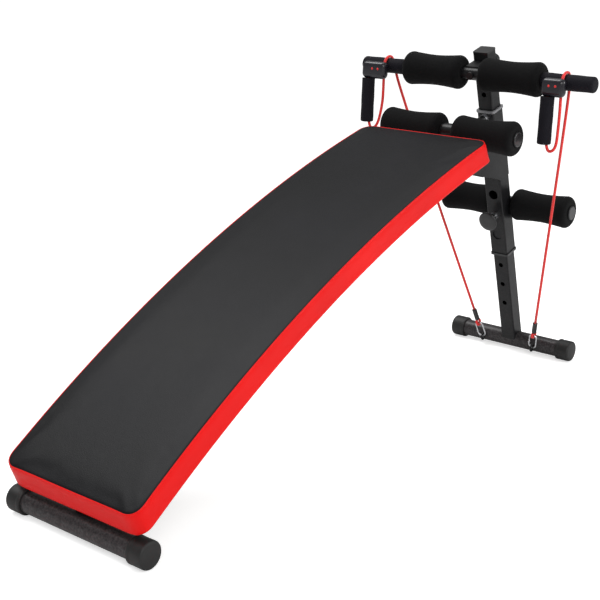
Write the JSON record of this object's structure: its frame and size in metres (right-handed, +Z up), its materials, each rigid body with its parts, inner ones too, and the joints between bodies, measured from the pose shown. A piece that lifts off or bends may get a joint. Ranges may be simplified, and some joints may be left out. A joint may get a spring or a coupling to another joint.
{
  "type": "decline sit-up bench",
  "caption": "Curved padded sit-up bench on a leaning telescopic post, with foam leg rollers, a cross bar and elastic pull cords with hand grips.",
  "frame": {"origin": "on the floor, under the middle of the bench's overall length and width", "axes": "+X from the low end towards the post, +Y to the left of a person looking that way, +Z up"},
  "size_m": [1.3976, 0.55, 0.7072],
  "materials": {
    "black_plastic": "moulded, slight gloss",
    "black_powder_coat": "low-sheen powder coat",
    "board_wood": "black painted plywood",
    "cap_rubber": "matt",
    "grey_plastic": "moulded, slight gloss",
    "grip_foam": "matt foam",
    "pad_cover": "black top panel with red side band",
    "red_cord": "elastic cord in a woven sheath",
    "roller_foam": "fine closed-cell foam",
    "zinc_steel": "bright zinc plate"
  },
  "bodies": {
    "frame": {"front_foot_tube": "black_powder_coat", "front_foot_cap_left": "cap_rubber", "front_foot_cap_right": "cap_rubber", "main_beam": "black_powder_coat", "post_bracket": "black_powder_coat", "bracket_bolts": "zinc_steel", "pad_brackets": "black_powder_coat", "pad_bolts": "zinc_steel", "pad_board": "board_wood", "pad_cushion": "pad_cover", "post_sleeve": "black_powder_coat", "sleeve_bushing_top": "grey_plastic", "sleeve_bushing_bottom": "black_plastic", "knee_bar": "black_powder_coat", "knee_bar_plugs": "black_plastic", "knee_bar_stem": "black_powder_coat", "ankle_bar": "black_powder_coat", "ankle_bar_plugs": "black_plastic", "ankle_bar_saddle": "black_powder_coat", "upper_pin_housing": "black_powder_coat", "lower_pin_housing": "black_powder_coat"},
    "leg": {"leg_tube": "black_powder_coat", "rear_foot_tube": "black_powder_coat", "rear_foot_cap_left": "cap_rubber", "rear_foot_cap_right": "cap_rubber", "cord_eyelet_left": "black_powder_coat", "cord_eyelet_right": "black_powder_coat", "carabiner_left": "zinc_steel", "carabiner_right": "zinc_steel", "cord_crimp_left": "black_plastic", "cord_crimp_right": "black_plastic"},
    "top_post": {"upper_tube": "black_powder_coat", "upper_tube_cap": "black_plastic", "top_bar": "black_powder_coat", "bar_grip_left": "grip_foam", "bar_grip_right": "grip_foam", "top_bar_bolt": "zinc_steel", "pull_cord_left": "red_cord", "pull_cord_right": "red_cord"},
    "upper_pin": {"upper_pin": "zinc_steel", "upper_pin_knob": "black_plastic"},
    "lower_pin": {"lower_pin": "zinc_steel", "lower_pin_knob": "black_plastic"},
    "top_bar_knob": {"top_bar_knob": "black_plastic"},
    "knee_roller_left": {"knee_roller_left": "roller_foam"},
    "knee_roller_right": {"knee_roller_right": "roller_foam"},
    "ankle_roller_left": {"ankle_roller_left": "roller_foam"},
    "ankle_roller_right": {"ankle_roller_right": "roller_foam"},
    "top_roller_left": {"top_roller_left": "roller_foam"},
    "top_roller_right": {"top_roller_right": "roller_foam"},
    "handle_left": {"handle_yoke_left": "black_plastic", "handle_grip_left": "grip_foam", "handle_cord_left": "red_cord"},
    "gate_left": {"carabiner_gate_left": "zinc_steel"},
    "handle_right": {"handle_yoke_right": "black_plastic", "handle_grip_right": "grip_foam", "handle_cord_right": "red_cord"},
    "gate_right": {"carabiner_gate_right": "zinc_steel"}
  },
  "joints": [
    {"name": "leg_slide", "type": "slide", "parent": "frame", "child": "leg", "axis": [-0.309, 0, 0.9511], "range_m": [0, 0.1], "deforming": ["pull_cord_left", "pull_cord_right"]},
    {"name": "top_post_slide", "type": "slide", "parent": "frame", "child": "top_post", "axis": [-0.309, 0, 0.9511], "range_m": [-0.05, 0]},
    {"name": "upper_pin_pull", "type": "slide", "parent": "frame", "child": "upper_pin", "axis": [-0.9511, 0, -0.309], "range_m": [0, 0.01], "stiffness_N_per_m": 1500, "springref_m": -0.004},
    {"name": "lower_pin_pull", "type": "slide", "parent": "frame", "child": "lower_pin", "axis": [-0.9511, 0, -0.309], "range_m": [0, 0.01], "stiffness_N_per_m": 1500, "springref_m": -0.004},
    {"name": "top_bar_knob_turn", "type": "hinge", "parent": "top_post", "child": "top_bar_knob", "pos_m": [0.46543, 0, 0.66927], "axis": [0.9511, 0, 0.309], "continuous": true},
    {"name": "knee_roller_left_spin", "type": "hinge", "parent": "frame", "child": "knee_roller_left", "pos_m": [0.34025, 0, 0.54235], "axis": [0, 1, 0], "continuous": true},
    {"name": "knee_roller_right_spin", "type": "hinge", "parent": "frame", "child": "knee_roller_right", "pos_m": [0.34025, 0, 0.54235], "axis": [0, 1, 0], "continuous": true},
    {"name": "ankle_roller_left_spin", "type": "hinge", "parent": "frame", "child": "ankle_roller_left", "pos_m": [0.60126, 0, 0.35801], "axis": [0, 1, 0], "continuous": true},
    {"name": "ankle_roller_right_spin", "type": "hinge", "parent": "frame", "child": "ankle_roller_right", "pos_m": [0.60126, 0, 0.35801], "axis": [0, 1, 0], "continuous": true},
    {"name": "top_roller_left_spin", "type": "hinge", "parent": "top_post", "child": "top_roller_left", "pos_m": [0.41883, 0, 0.65413], "axis": [0, 1, 0], "continuous": true},
    {"name": "top_roller_right_spin", "type": "hinge", "parent": "top_post", "child": "top_roller_right", "pos_m": [0.41883, 0, 0.65413], "axis": [0, 1, 0], "continuous": true},
    {"name": "handle_left_swing", "type": "hinge", "parent": "top_post", "child": "handle_left", "pos_m": [0.41883, 0, 0.65413], "axis": [0, 1, 0], "range_deg": [0, 50]},
    {"name": "gate_left_swing", "type": "hinge", "parent": "leg", "child": "gate_left", "pos_m": [0.64764, 0.07693, 0.02918], "axis": [0.9503, 0.0701, 0.3034], "range_deg": [0, 25], "stiffness_Nm_per_rad": 0.02, "springref_deg": -17.19},
    {"name": "handle_right_swing", "type": "hinge", "parent": "top_post", "child": "handle_right", "pos_m": [0.41883, 0, 0.65413], "axis": [0, 1, 0], "range_deg": [0, 50]},
    {"name": "gate_right_swing", "type": "hinge", "parent": "leg", "child": "gate_right", "pos_m": [0.64764, -0.0594, 0.03323], "axis": [0.9503, -0.0701, 0.3034], "range_deg": [0, 25], "stiffness_Nm_per_rad": 0.02, "springref_deg": -17.19}
  ]
}
